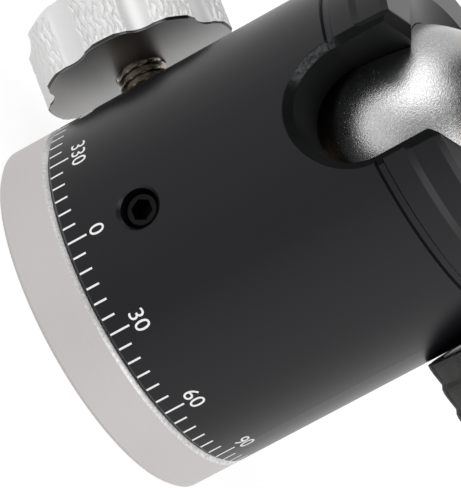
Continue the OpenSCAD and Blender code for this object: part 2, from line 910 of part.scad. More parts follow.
base_plate();
base_bushing();
pan_washer();
housing();
pan_sleeve();
guide_screws();
lock_bushing();
seat_plate();
disc_springs();
thrust_ring();
ball_cup();
ball_stem();
pan_pad();
pan_stud();
pan_knob();
pan_knob_cap();
brake_shoe();
main_stud();
main_knob_core();
main_knob_grip();
main_knob_cap();
clamp_base();
platform_screw();
guide_pins();
level_vial();
clamp_jaw();
jaw_springs();
clamp_screw();
clamp_washer();
clamp_knob();
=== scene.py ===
"""Looks, lights and camera for the tripod ball head. Metres, in the frame of the solids."""

import math

import bmesh
import bpy
from mathutils import Matrix, Vector


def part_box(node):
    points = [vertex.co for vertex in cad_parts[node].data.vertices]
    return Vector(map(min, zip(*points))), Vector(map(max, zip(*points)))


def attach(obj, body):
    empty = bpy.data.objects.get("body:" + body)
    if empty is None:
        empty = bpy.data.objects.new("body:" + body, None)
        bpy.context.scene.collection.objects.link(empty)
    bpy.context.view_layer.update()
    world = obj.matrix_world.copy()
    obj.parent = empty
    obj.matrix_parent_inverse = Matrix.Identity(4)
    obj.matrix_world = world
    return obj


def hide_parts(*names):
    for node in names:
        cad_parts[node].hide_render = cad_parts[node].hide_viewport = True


MM = 0.001

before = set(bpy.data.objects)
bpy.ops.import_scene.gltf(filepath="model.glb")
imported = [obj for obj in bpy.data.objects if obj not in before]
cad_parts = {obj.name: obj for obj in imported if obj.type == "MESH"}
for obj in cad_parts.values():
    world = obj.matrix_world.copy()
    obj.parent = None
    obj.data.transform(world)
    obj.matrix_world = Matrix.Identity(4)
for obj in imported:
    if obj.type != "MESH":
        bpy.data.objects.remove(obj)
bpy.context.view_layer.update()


# ------------------------------------------------------------------ helpers

def direction(azimuth, elevation=0.0):
    """Unit vector at angles in degrees: round from the front (-Y) to the right, and up."""
    a, e = math.radians(azimuth), math.radians(elevation)
    return Vector((math.sin(a) * math.cos(e), -math.cos(a) * math.cos(e), math.sin(e)))


def add_object(name, data):
    """Puts an object at the origin of the scene."""
    made = bpy.data.objects.new(name, data)
    bpy.context.scene.collection.objects.link(made)
    return made


# ------------------------------------------------------------------- camera

IMAGE_WIDTH, IMAGE_HEIGHT = 461, 488
CAMERA_AZIMUTH, CAMERA_ELEVATION, CAMERA_ROLL = 23.548, 16.805, 61.564
CAMERA_DISTANCE = 0.700
CAMERA_CLIP = (0.01, 50.0)
FOCAL_PIXELS = 4711.3
SENSOR = 36.0
AIM_ACROSS = -0.8652 * MM       # where the middle of the view passes the origin
AIM_UP = 21.854 * MM


def make_camera():
    """A camera on the ray from the aim, rolled round that ray."""
    back = direction(CAMERA_AZIMUTH, CAMERA_ELEVATION)
    right = direction(CAMERA_AZIMUTH + 90)
    up = back.cross(right)
    roll = math.radians(CAMERA_ROLL)
    across = right * math.cos(roll) + up * math.sin(roll)
    upward = up * math.cos(roll) - right * math.sin(roll)
    place = right * AIM_ACROSS + up * AIM_UP + back * CAMERA_DISTANCE
    turn = Matrix((across, upward, back)).transposed().to_4x4()
    data = bpy.data.cameras.new("camera")
    data.sensor_fit = "AUTO"
    data.sensor_width = SENSOR
    data.lens = FOCAL_PIXELS * SENSOR / max(IMAGE_WIDTH, IMAGE_HEIGHT)
    data.clip_start, data.clip_end = CAMERA_CLIP
    camera = add_object("camera", data)
    camera.matrix_world = Matrix.Translation(place) @ turn
    bpy.context.scene.camera = camera


# ---------------------------------------------------------- shader writing

class Wire:
    """A socket's output that can be used in arithmetic."""

    def __init__(self, finish, output):
        self.finish = finish
        self.output = output

    def maths(self, operation, *values):
        return self.finish.node("ShaderNodeMath", *values, settings={"operation": operation})

    def __add__(self, other):
        return self.maths("ADD", self, other)

    def __sub__(self, other):
        return self.maths("SUBTRACT", self, other)

    def __rsub__(self, other):
        return self.maths("SUBTRACT", other, self)

    def __mul__(self, other):
        return self.maths("MULTIPLY", self, other)

    def __abs__(self):
        return self.maths("ABSOLUTE", self)

    __radd__ = __add__
    __rmul__ = __mul__

    def smooth(self, low, high):
        """Smooth step from 0, where this value is low, to 1, where it is high."""
        settings = {"interpolation_type": "SMOOTHSTEP"}
        return self.finish.node("ShaderNodeMapRange", self, low, high, settings=settings)

    def past(self, stretch):
        """Smooth step over a stretch, given as its start and end in millimetres."""
        start, end = stretch
        return self.smooth(start * MM, end * MM)


class Finish:
    """A node tree in the making: a surface's finish, or the world."""

    MIX_FACTOR, MIX_LOW, MIX_HIGH = 0, 6, 7     # the Mix node's sockets for colours
    MIX_RESULT = 2

    def __init__(self, owner):
        self.owner = owner
        owner.use_nodes = True
        self.tree = owner.node_tree
        self.tree.nodes.clear()

    def node(self, kind, *values, out=0, settings=None, **named):
        """Adds a node. Values go to its sockets by order or by name."""
        made = self.tree.nodes.new(kind)
        for key, value in (settings or {}).items():
            setattr(made, key, value)
        for slot, value in enumerate(values):
            self.feed(made.inputs[slot], value)
        for name, value in named.items():
            self.feed(made.inputs[name.replace("_", " ")], value)
        return Wire(self, made.outputs[out]) if made.outputs else None

    def feed(self, socket, value):
        if isinstance(value, Wire):
            self.tree.links.new(value.output, socket)
        else:
            socket.default_value = value

    def spot(self, scale=(1, 1, 1), turn=(0, 0, 0), centre=(0, 0, 0)):
        """Object coordinates, moved so that centre is the origin, then turned and scaled."""
        place = self.node("ShaderNodeTexCoord", out="Object")
        moved = self.node("ShaderNodeMapping", Vector=place, Location=[-c for c in centre])
        return self.node("ShaderNodeMapping", Vector=moved, Rotation=turn, Scale=scale)

    def axis(self, place, name):
        """The X, Y or Z of a place."""
        return self.node("ShaderNodeSeparateXYZ", place, out=name)

    def distance(self, place, kept):
        """Length of those coordinates of a place that kept marks with 1."""
        flat = self.node("ShaderNodeVectorMath", place, kept, settings={"operation": "MULTIPLY"})
        return self.node("ShaderNodeVectorMath", flat, settings={"operation": "LENGTH"},
                         out="Value")

    def maximum(self, one, other):
        """The greater of two values."""
        return self.node("ShaderNodeMath", one, other, settings={"operation": "MAXIMUM"})

    def noise(self, place, scale, detail=2.0, roughness=0.5):
        """Soft noise between 0 and 1, with scale waves to a unit of the place."""
        return self.node("ShaderNodeTexNoise", Vector=place, Scale=scale, Detail=detail,
                         Roughness=roughness)

    def blend(self, factor, low, high):
        """Mixes two colours by a factor."""
        made = self.tree.nodes.new("ShaderNodeMix")
        made.data_type = "RGBA"
        self.feed(made.inputs[self.MIX_FACTOR], factor)
        self.feed(made.inputs[self.MIX_LOW], low)
        self.feed(made.inputs[self.MIX_HIGH], high)
        return Wire(self, made.outputs[self.MIX_RESULT])

    def bump(self, height, distance, strength):
        """A normal that follows a height."""
        return self.node("ShaderNodeBump", Height=height, Distance=distance, Strength=strength)

    def rays(self, kind):
        """1 for the rays of a kind and 0 for the others."""
        return self.node("ShaderNodeLightPath", out="Is " + kind + " Ray")

    def surface(self, **sockets):
        """Ends the tree with one shader, and gives the material."""
        self.output(self.node("ShaderNodeBsdfPrincipled", **sockets))
        return self.owner

    def output(self, shader):
        kind = "World" if isinstance(self.owner, bpy.types.World) else "Material"
        self.node("ShaderNodeOutput" + kind, shader)


def new_finish(name):
    return Finish(bpy.data.materials.new(name))


def grey(value, warm=0.0):
    """A near neutral colour, a little warmer when warm is positive."""
    return (value * (1 + warm), value, value * (1 - warm), 1.0)


def tinted(colour, factor):
    """A colour times a factor, and opaque."""
    return tuple(c * factor for c in colour[:3]) + (1.0,)


# ------------------------------------------------------- sizes of the parts

# All in millimetres and degrees, as are the stretches over which a finish changes
BODY_RADIUS = 28.0
DISC_CHAMFER = (7.76, 7.82)     # foot of the disc's chamfer and of the painted highlight on it, up from the ground

NOTCH_WALL = (10.3, 10.5)       # the notch's side, from its middle
NOTCH_BACK = (-12.0, -10.0)     # its inner end, from the housing's axis
NOTCH_FOOT = (40.0, 42.0)       # its lower end, up from the ground
OUTER_WALL = (27.85, 27.95)     # the housing's outside, from its axis

GLINT_RADIUS = (26.6, 26.9)       # painted highlight streak on the notch's chamfer, from the axis
GLINT_RIGHT = (-7.5, -5.5)        # its right end, from the notch's middle
GLINT_FOOT = (47.5, 50.0)         # its lower and upper ends, up from the ground
GLINT_HEAD = (54.5, 57.5)

KNOB_FACE = 32.70               # the pan knob's inner face, from the housing's axis
KNOB_HEIGHT = 19.4              # its axis, up from the ground
KNOB_AZIMUTH = -90.0
MACHINED_FROM = (-0.40, -0.36)  # where its machined face starts, from the face's plane
DARK_RIM_TO = (-0.06, -0.02)        # where the painted dark rim on that face ends
DARK_RIM_FROM = (11.8, 12.2)        # where the painted dark rim starts, from the knob's axis

BUBBLE = (0.85, 1.05)           # the level's bubble and ring, from its middle
RING_INSIDE, RING_OUTSIDE = (1.25, 1.30), (1.42, 1.47)


# ----------------------------------------------------------------- finishes

PINKISH = (1.045, 1.0, 0.99, 1.0)
BLUE_BLACK = (0.0020, 0.0019, 0.0032, 1.0)
BLUE_BLACK_HIGH = tinted(BLUE_BLACK, 2.5)
FLUID_GREEN = (0.42, 0.66, 0.10, 1.0)
BUBBLE_GREEN = (0.74, 0.88, 0.48, 1.0)
IVORY = (0.80, 0.78, 0.72, 1.0)
ROSE = (0.82, 0.68, 0.64, 1.0)
BALL_TURN = (0.5, 0.7, 0.3)     # radians that the ball's scratches are turned by


def turned_silver():
    """Anodised silver, finely blasted, with faint traces of turning and a painted highlight on
    the chamfer.
    """
    finish = new_finish("turned_silver")
    place = finish.spot()
    grain = finish.noise(place, scale=5200.0)
    lines = finish.noise(finish.spot(scale=(40, 40, 9000)), scale=1.0)
    cloud = finish.noise(place, scale=60.0, detail=3.0)
    speck = finish.noise(place, scale=1900.0, detail=3.0, roughness=0.7)
    shade = grain * 0.5 + lines * 0.3 + cloud * 0.2
    turned = finish.blend(shade, tinted(PINKISH, 0.56), tinted(PINKISH, 0.67))
    # painted highlight: on the chamfer the colour goes towards white, with speckled glints
    bright = finish.blend(speck.smooth(low=0.25, high=0.70), tinted(PINKISH, 0.58), grey(0.93))
    chamfer = finish.axis(place, "Z").past(DISC_CHAMFER)
    return finish.surface(
        Base_Color=finish.blend(chamfer, turned, bright),
        Metallic=0.35,
        Roughness=0.42 + 0.12 * grain - 0.16 * chamfer,
        Normal=finish.bump(grain * 0.7 + lines * 0.3, distance=0.02 * MM, strength=0.35),
    )


def knob_silver():
    """Bright anodised silver of the pan knob, duller on the machined face by its screw, where
    painted shade darkens it and paints a dark rim at its edge.
    """
    finish = new_finish("knob_silver")
    place = finish.spot(centre=(0, 0, KNOB_HEIGHT * MM))
    grain = finish.noise(place, scale=4200.0)
    cloud = finish.noise(place, scale=110.0, detail=3.0)
    radius = finish.distance(place, kept=(0, 1, 1))
    rings = finish.noise(finish.node("ShaderNodeCombineXYZ", radius), scale=3000.0)
    outwards = finish.axis(place, "X") + KNOB_FACE * MM
    machined = outwards.past(MACHINED_FROM)
    # painted shade: a dark rim round the edge of the machined face
    painted_dark_rim = machined * (1 - outwards.past(DARK_RIM_TO)) * radius.past(DARK_RIM_FROM)
    shade = grain * 0.6 + cloud * 0.4
    bright = finish.blend(shade, grey(0.85, warm=0.002), grey(0.95, warm=0.002))
    # the machined face: its duller, ringed finish is its own, and painted shade makes it darker
    # still
    machined_and_shaded = finish.blend(rings * 0.5 + shade * 0.5, grey(0.36, warm=0.008), grey(0.54, warm=0.008))
    machined_and_shaded = finish.blend(painted_dark_rim, machined_and_shaded, grey(0.10))
    return finish.surface(
        Base_Color=finish.blend(machined, bright, machined_and_shaded),
        Metallic=0.45 + 0.55 * machined,
        Roughness=0.36 + 0.10 * grain - 0.06 * machined,
        Normal=finish.bump(grain + rings * machined * 0.5, distance=0.02 * MM, strength=0.3),
    )


def black_anodised():
    """Satin black anodised aluminium with a very fine grain."""
    finish = new_finish("black_anodised")
    grain = finish.noise(finish.spot(), scale=5600.0)
    cloud = finish.noise(finish.spot(), scale=45.0, detail=3.0)
    return finish.surface(
        Base_Color=finish.blend(grain * 0.6 + cloud * 0.4, BLUE_BLACK, BLUE_BLACK_HIGH),
        Roughness=0.26 + 0.10 * grain,
        IOR=1.5,
        Normal=finish.bump(grain, distance=0.01 * MM, strength=0.25),
    )


def black_housing():
    """The housing's satin black, rougher where the notch cuts into its wall, with painted shade
    there and a painted highlight streak on the notch's chamfer.
    """
    finish = new_finish("black_housing")
    place = finish.spot()
    grain = finish.noise(place, scale=5600.0)
    speck = finish.noise(place, scale=2300.0)
    cloud = finish.noise(place, scale=45.0, detail=3.0)
    across, inwards, height = (finish.axis(place, name) for name in "XYZ")
    radius = finish.distance(place, kept=(1, 1, 0))
    notch = 1 - abs(across).past(NOTCH_WALL)
    notch = notch * (1 - inwards.past(NOTCH_BACK)) * height.past(NOTCH_FOOT)
    # the notch's walls, which get painted shade: near black and mostly metallic, so that they
    # barely reflect
    cut = notch * (1 - radius.past(OUTER_WALL))
    # painted highlight: a lighter, speckled streak on the notch's chamfer
    glint_patch = radius.past(GLINT_RADIUS) * (1 - across.past(GLINT_RIGHT))
    glint_patch = glint_patch * height.past(GLINT_FOOT) * (1 - height.past(GLINT_HEAD))
    painted_glint = glint_patch * speck.smooth(low=0.15, high=0.80)
    plain = finish.blend(grain * 0.6 + cloud * 0.4, BLUE_BLACK, BLUE_BLACK_HIGH)
    # colour of the painted shade in the notch, then with the painted highlight streak over it
    deep = finish.blend(speck, grey(0.002, warm=-0.12), grey(0.009, warm=-0.12))
    deep = finish.blend(painted_glint, deep, grey(0.10, warm=-0.04))
    return finish.surface(
        Base_Color=finish.blend(cut, plain, deep),
        Metallic=0.75 * cut,
        Roughness=0.26 + 0.10 * grain + 0.16 * cut,
        IOR=1.46,
        Normal=finish.bump(grain + speck * cut, distance=0.01 * MM, strength=0.25),
    )


def satin_ball():
    """Blasted and polished ball: a bright satin with short fine scratches."""
    finish = new_finish("satin_ball")
    grain = finish.noise(finish.spot(scale=(3800, 5600, 3800), turn=BALL_TURN), scale=1.0,
                         roughness=0.7)
    scratch = finish.noise(finish.spot(scale=(2300, 8800, 8800), turn=BALL_TURN), scale=1.0)
    cloud = finish.noise(finish.spot(), scale=160.0, detail=3.0)
    shade = grain * 0.4 + scratch * 0.4 + cloud * 0.2
    return finish.surface(
        Base_Color=finish.blend(shade.smooth(low=0.34, high=0.66), grey(0.70), grey(0.99)),
        Metallic=1.0,
        Roughness=0.21 + 0.10 * shade,
        Normal=finish.bump(grain * 0.8 + scratch * 0.2, distance=0.07 * MM, strength=0.9),
    )


def plain_metal(name, light, roughness, warm=0.0):
    """Machined metal: a fine grain over a slow variation of tone."""
    finish = new_finish(name)
    grain = finish.noise(finish.spot(), scale=3600.0)
    cloud = finish.noise(finish.spot(), scale=130.0, detail=3.0)
    shade = grain * 0.55 + cloud * 0.45
    return finish.surface(
        Base_Color=finish.blend(shade, grey(light * 0.75, warm), grey(light * 1.15, warm)),
        Metallic=1.0,
        Roughness=roughness - 0.06 + 0.14 * shade,
        Normal=finish.bump(grain, distance=0.02 * MM, strength=0.3),
    )


def moulded(name, colour, roughness):
    """Moulded plastic with a light eggshell texture."""
    finish = new_finish(name)
    skin = finish.noise(finish.spot(), scale=1800.0)
    cloud = finish.noise(finish.spot(), scale=90.0)
    shade = cloud * 0.7 + skin * 0.3
    return finish.surface(
        Base_Color=finish.blend(shade, tinted(colour, 0.88), tinted(colour, 1.08)),
        Roughness=roughness - 0.05 + 0.1 * skin,
        Normal=finish.bump(skin, distance=0.03 * MM, strength=0.4),
    )


def grip_rubber():
    """Dark rubber with a sandy skin."""
    finish = new_finish("grip_rubber")
    skin = finish.noise(finish.spot(), scale=2300.0, detail=3.0, roughness=0.65)
    sand = finish.noise(finish.spot(), scale=900.0)
    shade = sand * 0.5 + skin * 0.5
    return finish.surface(
        Base_Color=finish.blend(shade, grey(0.022, warm=0.02), grey(0.062, warm=0.03)),
        Roughness=0.66 + 0.2 * skin,
        Normal=finish.bump(skin * 0.6 + sand * 0.4, distance=0.12 * MM, strength=0.9),
    )


def printed_white():
    """White print of the degree scale, slightly worn."""
    finish = new_finish("printed_white")
    wear = finish.noise(finish.spot(), scale=2600.0, detail=3.0)
    return finish.surface(Base_Color=finish.blend(wear, grey(0.80), grey(0.97)),
                          Roughness=0.5 + 0.2 * wear)


def level_fluid():
    """Green fluid of the bubble level under clear glass, with its bubble and ring."""
    finish = new_finish("level_fluid")
    low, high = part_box("level_vial")
    radius = finish.distance(finish.spot(centre=(low + high) / 2), kept=(1, 1, 0))
    bubble = 1 - radius.past(BUBBLE)
    ring = radius.past(RING_INSIDE) - radius.past(RING_OUTSIDE)
    fluid = finish.blend(bubble, FLUID_GREEN, BUBBLE_GREEN)
    return finish.surface(Base_Color=finish.blend(ring, fluid, grey(0.02)),
                          Roughness=0.08 + 0.1 * bubble, Coat_Weight=1.0)


def use(finish, *nodes):
    """Gives a finish to nodes that keep their own shape."""
    for name in nodes:
        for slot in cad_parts[name].material_slots:
            slot.material = finish


# ------------------------------------------------------------ mesh building

WELD = 0.001 * MM               # vertices nearer to each other than this become one


def outward(azimuth, height):
    """Place of a piece along +Z that points outwards at an azimuth and a height."""
    columns = (direction(azimuth + 90), Vector((0, 0, 1)), direction(azimuth))
    turn = Matrix(columns).transposed().to_4x4()
    return Matrix.Translation((0, 0, height * MM)) @ turn


def lathe(profile, steps):
    """Spins a profile of (radius, height) points in millimetres round +Z."""
    mesh = bmesh.new()
    points = [mesh.verts.new((r * MM, 0, z * MM)) for r, z in profile]
    edges = [mesh.edges.new(pair) for pair in zip(points, points[1:])]
    bmesh.ops.spin(mesh, geom=points + edges, cent=(0, 0, 0), axis=(0, 0, 1),
                   angle=math.tau, steps=steps, use_merge=True)
    bmesh.ops.remove_doubles(mesh, verts=mesh.verts, dist=WELD)
    bmesh.ops.recalc_face_normals(mesh, faces=mesh.faces)
    return mesh


def evenly(start, end, count):
    """Evenly spaced values from start to end."""
    return [start + (end - start) * i / count for i in range(count + 1)]


def ramp(value, start, length):
    """Rises from 0 at start to 1 over a length."""
    return min(1.0, max(0.0, (value - start) / length))


def reshape(mesh, radius_at):
    """Moves each vertex off the axis to the radius that the function gives for it."""
    for vert in mesh.verts:
        radius = math.hypot(vert.co.x, vert.co.y)
        if radius > 10 * WELD:
            angle = math.atan2(vert.co.y, vert.co.x)
            factor = radius_at(radius / MM, angle, vert.co.z / MM) * MM / radius
            vert.co.x *= factor
            vert.co.y *= factor


def make_piece(name, mesh, finish, body, sharp, place=None):
    """Turns a mesh into a piece that rides on a body. Edges sharper than an angle stay so."""
    if place is not None:
        bmesh.ops.transform(mesh, matrix=place, verts=mesh.verts)
    data = bpy.data.meshes.new(name)
    mesh.to_mesh(data)
    mesh.free()
    data.materials.append(finish)
    data.shade_smooth()
    data.set_sharp_from_angle(angle=math.radians(sharp))
    piece = add_object(name, data)
    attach(piece, body)
    return piece


# ------------------------------------------------------------- degree scale

SCALE_ZERO = -1.5               # azimuth of the scale's zero
TICK_EVERY, NUMBER_EVERY = 5, 30
TICK_FOOT = 9.1
SHORT_TICK, LONG_TICK = 2.1, 3.2
TICK_WIDTH = 0.30
PRINT_DEPTH = 0.06
PRINT_RISE = 0.02               # how far the print stands proud of the housing
PRINT_RADIUS = BODY_RADIUS + PRINT_RISE - PRINT_DEPTH / 2
NUMBER_HEIGHT = 2.45
NUMBER_CENTRE = 14.1
FONT_CAP_HEIGHT = 0.72          # height of a figure for a text size of 1
FONT_CURVE_STEPS = 6
FONT_WELD = 1e-5
TICK_SHARP, NUMBER_SHARP = 35, 30       # edges that bend more than this stay sharp


def make_ticks(finish):
    """A tick every 5 degrees, and a long one at each number."""
    mesh = bmesh.new()
    for degrees in range(0, 360, TICK_EVERY):
        length = SHORT_TICK if degrees % NUMBER_EVERY else LONG_TICK
        place = outward(SCALE_ZERO + degrees, TICK_FOOT + length / 2)
        out = Matrix.Translation((0, 0, PRINT_RADIUS * MM))
        size = Matrix.Diagonal((TICK_WIDTH * MM, length * MM, PRINT_DEPTH * MM, 1))
        bmesh.ops.create_cube(mesh, size=1, matrix=place @ out @ size)
    make_piece("scale_ticks", mesh, finish, "housing", TICK_SHARP)


def number_mesh(text):
    """A number as a flat solid in its own plane, for a text size of 1, and 1 deep."""
    curve = bpy.data.curves.new("number_" + text, "FONT")
    curve.body = text
    curve.align_x = "CENTER"
    curve.extrude = 1 / 2
    curve.resolution_u = FONT_CURVE_STEPS
    holder = add_object(curve.name, curve)
    bpy.context.view_layer.update()
    shown = holder.evaluated_get(bpy.context.evaluated_depsgraph_get())
    data = bpy.data.meshes.new_from_object(shown)
    mesh = bmesh.new()
    mesh.from_mesh(data)
    bpy.data.objects.remove(holder)
    bpy.data.curves.remove(curve)
    bpy.data.meshes.remove(data)
    bmesh.ops.remove_doubles(mesh, verts=mesh.verts, dist=FONT_WELD)
    return mesh


def make_numbers(finish):
    """Numbers every 30 degrees, wrapped round the housing over the long ticks."""
    size = NUMBER_HEIGHT / FONT_CAP_HEIGHT
    foot = NUMBER_CENTRE - NUMBER_HEIGHT / 2
    whole = bmesh.new()
    for degrees in range(0, 360, NUMBER_EVERY):
        mesh = number_mesh(str(degrees))
        middle = math.radians(SCALE_ZERO + degrees)
        for vert in mesh.verts:
            angle = middle + vert.co.x * size / BODY_RADIUS
            radius = (PRINT_RADIUS + vert.co.z * PRINT_DEPTH) * MM
            height = (foot + vert.co.y * size) * MM
            vert.co = (radius * math.sin(angle), -radius * math.cos(angle), height)
        data = bpy.data.meshes.new("number")
        mesh.to_mesh(data)
        mesh.free()
        whole.from_mesh(data)
        bpy.data.meshes.remove(data)
    bmesh.ops.recalc_face_normals(whole, faces=whole.faces)
    make_piece("scale_numbers", whole, finish, "housing", NUMBER_SHARP)


# ---------------------------------------------------------------- pan stud

STUD_RADIUS, STUD_TIP_RADIUS = 4.0, 3.5
STUD_TIP = 0.5                  # length of the chamfer at each end
THREAD_PITCH, THREAD_DEPTH = 1.25, 0.7
THREAD_FADE = 0.4               # length over which the thread starts and ends
FLANK_SLOPE, ROOT_WIDTH = 1.15, 0.08    # they round off the crests and roots
THREAD_ROWS, THREAD_STEPS = 150, 96
THREAD_SHARP = 50
ON_SURFACE = 0.05               # what lies this near to the stud's outside is threaded


def thread_radius(start, end):
    """Radius of the stud's right-hand thread, which fades in at its ends."""
    def radius_at(radius, angle, z):
        if radius < STUD_RADIUS - ON_SURFACE:
            return radius
        turn = (z / THREAD_PITCH - angle / math.tau) % 1.0
        flank = 1 - abs(2 * turn - 1)
        crest = ramp(FLANK_SLOPE * flank, ROOT_WIDTH, 1.0)
        fade = ramp(min(z - start, end - z), 0.0, THREAD_FADE)
        return radius - THREAD_DEPTH * (1 - crest) * fade
    return radius_at


def make_pan_stud(finish):
    """The pan lock's stud with its thread, along the length that its node has."""
    low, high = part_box("pan_stud")
    start, end = -high.x / MM, -low.x / MM
    centre_height = (low.z + high.z) / 2 / MM
    thread_start, thread_end = start + STUD_TIP, end - STUD_TIP
    profile = [
        (0, start), (STUD_TIP_RADIUS, start),
        *[(STUD_RADIUS, z) for z in evenly(thread_start, thread_end, THREAD_ROWS)],
        (STUD_TIP_RADIUS, end), (0, end),
    ]
    mesh = lathe(profile, THREAD_STEPS)
    reshape(mesh, thread_radius(thread_start, thread_end))
    piece = make_piece("pan_stud_thread", mesh, finish, "pan_knob", THREAD_SHARP,
                       outward(KNOB_AZIMUTH, centre_height))
    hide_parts("pan_stud")


# ---------------------------------------------------------------- pan knob

KNOB_RADIUS, KNOB_LENGTH = 15.2, 10.74
KNOB_BEVEL = 0.38               # length and depth of the edge of its inner face
KNOB_BEVEL_FOOT = 0.5           # flat ring of that face beside the bevel
KNOB_CHAMFER = 1.2              # at its outer end
FACE_RINGS = (9.0, 11.0)        # radii on the inner face. Within the first it stays round
BORE_RADIUS, BORE_DEPTH = 4.02, 7.3     # hole for the stud
CAP_RADIUS, CAP_DEPTH = 6.02, 1.6       # recess for the cap
LOBES, LOBE_TURN = 8, 5         # their number, and how far they are turned
FLUTE_DEPTH, FLUTE_RADIUS = 1.6, 3.5
RELIEF_DEPTH, RELIEF_RADIUS = 1.0, 20.0     # wide hollows that ease the flutes' flanks
KNURL_COUNT, KNURL_PITCH = 84, 4.6
KNURL_DEPTH, KNURL_GROOVE = 0.30, 0.30
KNURL_FADE = 0.3                # length over which the knurl fades at its edges
KNURL_LOW = 0.85                # the outline is plain where it falls by more than this
SWAY, SWAY_ALONG, SWAY_ROUND = 0.12, 1.7, 9     # unevenness of the knurl across,
DRIFT, DRIFT_ROUND = 0.10, 23                   # and along the knob
KNOB_ROWS, KNOB_STEPS = 44, 672
KNOB_SHARP = 32


def hollow(depth, radius):
    """The knob's round outline, as its radius at an angle, with a hollow between the lobes."""
    centre = KNOB_RADIUS - depth + radius
    step = math.tau / LOBES

    def outline(angle):
        offset = (angle - math.radians(LOBE_TURN)) % step - step / 2
        reach = radius ** 2 - (centre * math.sin(offset)) ** 2
        if reach <= 0:
            return KNOB_RADIUS
        return min(KNOB_RADIUS, centre * math.cos(offset) - math.sqrt(reach))
    return outline


flutes = hollow(FLUTE_DEPTH, FLUTE_RADIUS)
relief = hollow(RELIEF_DEPTH, RELIEF_RADIUS)


def diamond(across, along):
    """Height of a knurl between 0, in its grooves, and 1, on its flat diamonds."""
    one = abs(2 * ((across + along) % 1.0) - 1)
    other = abs(2 * ((across - along) % 1.0) - 1)
    return min(1.0, (1 - max(one, other)) / KNURL_GROOVE)


def knob_radius_at(radius, angle, z):
    """Radius of the fluted and knurled knob. Its core stays as it is."""
    if radius < FACE_RINGS[0]:
        return radius
    height = z - KNOB_FACE
    to_end = KNOB_LENGTH - KNOB_CHAMFER - height
    limit = min(flutes(angle), relief(angle))
    lobe = ramp(limit, KNOB_RADIUS - KNURL_LOW, KNURL_FADE)
    ends = ramp(height, KNOB_BEVEL, KNURL_FADE) * ramp(to_end, 0.0, KNURL_FADE)
    sway = SWAY * math.sin(SWAY_ALONG * height + SWAY_ROUND * angle)
    across = angle * KNURL_COUNT / math.tau + sway
    along = height / KNURL_PITCH + DRIFT * math.sin(DRIFT_ROUND * angle)
    cut = 1 - diamond(across, along)
    return min(radius, limit) - KNURL_DEPTH * cut * lobe * ends


def make_pan_knob(finish):
    """The knob as a lathed solid, whose rows of vertices take the flutes and the knurl."""
    start, end = KNOB_FACE, KNOB_FACE + KNOB_LENGTH
    face_edge = KNOB_RADIUS - KNOB_BEVEL
    profile = [
        (0, start + BORE_DEPTH), (BORE_RADIUS, start + BORE_DEPTH), (BORE_RADIUS, start),
        *[(radius, start) for radius in FACE_RINGS],
        (face_edge - KNOB_BEVEL_FOOT, start), (face_edge, start),
        *[(KNOB_RADIUS, z) for z in evenly(start + KNOB_BEVEL, end - KNOB_CHAMFER, KNOB_ROWS)],
        (KNOB_RADIUS - KNOB_CHAMFER, end), (CAP_RADIUS, end),
        (CAP_RADIUS, end - CAP_DEPTH), (0, end - CAP_DEPTH),
    ]
    mesh = lathe(profile, KNOB_STEPS)
    reshape(mesh, knob_radius_at)
    piece = make_piece("pan_knob_knurled", mesh, finish, "pan_knob",
                       KNOB_SHARP, outward(KNOB_AZIMUTH, KNOB_HEIGHT))
    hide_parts("pan_knob")


# ------------------------------------------------------------------- clamp

BROKEN_EDGE = 0.25              # width of the bevel on the clamp's edges
BEVEL_FROM = 30                 # sharpest bend that gets no bevel, in degrees
FLAT_WITHIN = 0.5               # faces that bend less than this become one
CLAMP_SHARP = 50
FACE_WEIGHT = 100


def dress(node, finish, body):
    """Stands a copy for a node, with its sharp edges broken by a small bevel."""
    mesh = bmesh.new()
    mesh.from_mesh(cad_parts[node].data)
    bmesh.ops.remove_doubles(mesh, verts=mesh.verts, dist=2 * WELD)
    bmesh.ops.dissolve_limit(mesh, angle_limit=math.radians(FLAT_WITHIN), verts=mesh.verts,
                             edges=mesh.edges)
    corners = [e for e in mesh.edges
               if len(e.link_faces) == 2 and e.calc_face_angle(0) > math.radians(BEVEL_FROM)]
    bmesh.ops.bevel(mesh, geom=corners, offset=BROKEN_EDGE * MM, offset_type="OFFSET",
                    segments=2, profile=0.5, affect="EDGES", clamp_overlap=True, material=-1)
    piece = make_piece(node + "_dressed", mesh, finish, body, CLAMP_SHARP)
    weighted = piece.modifiers.new("weighted_normals", "WEIGHTED_NORMAL")
    weighted.weight = FACE_WEIGHT
    weighted.keep_sharp = True
    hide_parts(node)


# ------------------------------------------------------------------- stage

# A place in the studio is its side and rise in degrees, seen from the camera's azimuth
ROOM_LEVEL = 0.74               # brightness of the studio beside the object, in reflections
ROOM_SLOPE = 0.22               # how much brighter its reflection is behind than beside
ROOM_SIDE = 0.06                # how much brighter it is on the right than in the middle
LIGHT_LEVEL = 0.66              # brightness of the studio as light, on average
LIGHT_SLOPE = 0.36              # how much stronger the light is from its main place
LIGHT_PLACE = (28, 25)
PANELS = (                      # bright places: place, extra level, cosines of start and end
    ((48, -17), 0.20, 0.75, 1.0),
    ((-36, -30), 0.12, 0.75, 0.97),
)
SHADES = (                      # dark places: place, share taken away, cosines
    ((-80, 70), 0.66, 0.78, 0.92),
    ((-125, 35), 0.42, 0.55, 0.90),
    ((-12, 15), 0.55, 0.90, 0.975),
    ((-17, 50), 0.55, 0.88, 0.97),
)
LAMPS = (                       # soft boxes: name, place, width, height, brightness of the face
    ("left_softbox", (-68, 29), 0.85, 0.85, 1.0),
    ("right_softbox", (40, 50), 0.8, 0.6, 1.3),
)
LAMP_DISTANCE = 1.0
LAMP_AIM = Vector((0, 0, 50 * MM))
WHITE = grey(1.0)
FLOOR_RADIUS, FLOOR_SEGMENTS = 6.0, 64
FLOOR_TONE = 0.85
FLOOR_GLOW = 1.16               # light of the floor to the camera, so that it looks white,
FLOOR_GLOW_SHARE = 0.72         # and its share of the floor. The rest shows the shadow


def studio_direction(side, rise):
    """Unit vector to a place in the studio."""
    return direction(CAMERA_AZIMUTH + side, rise)


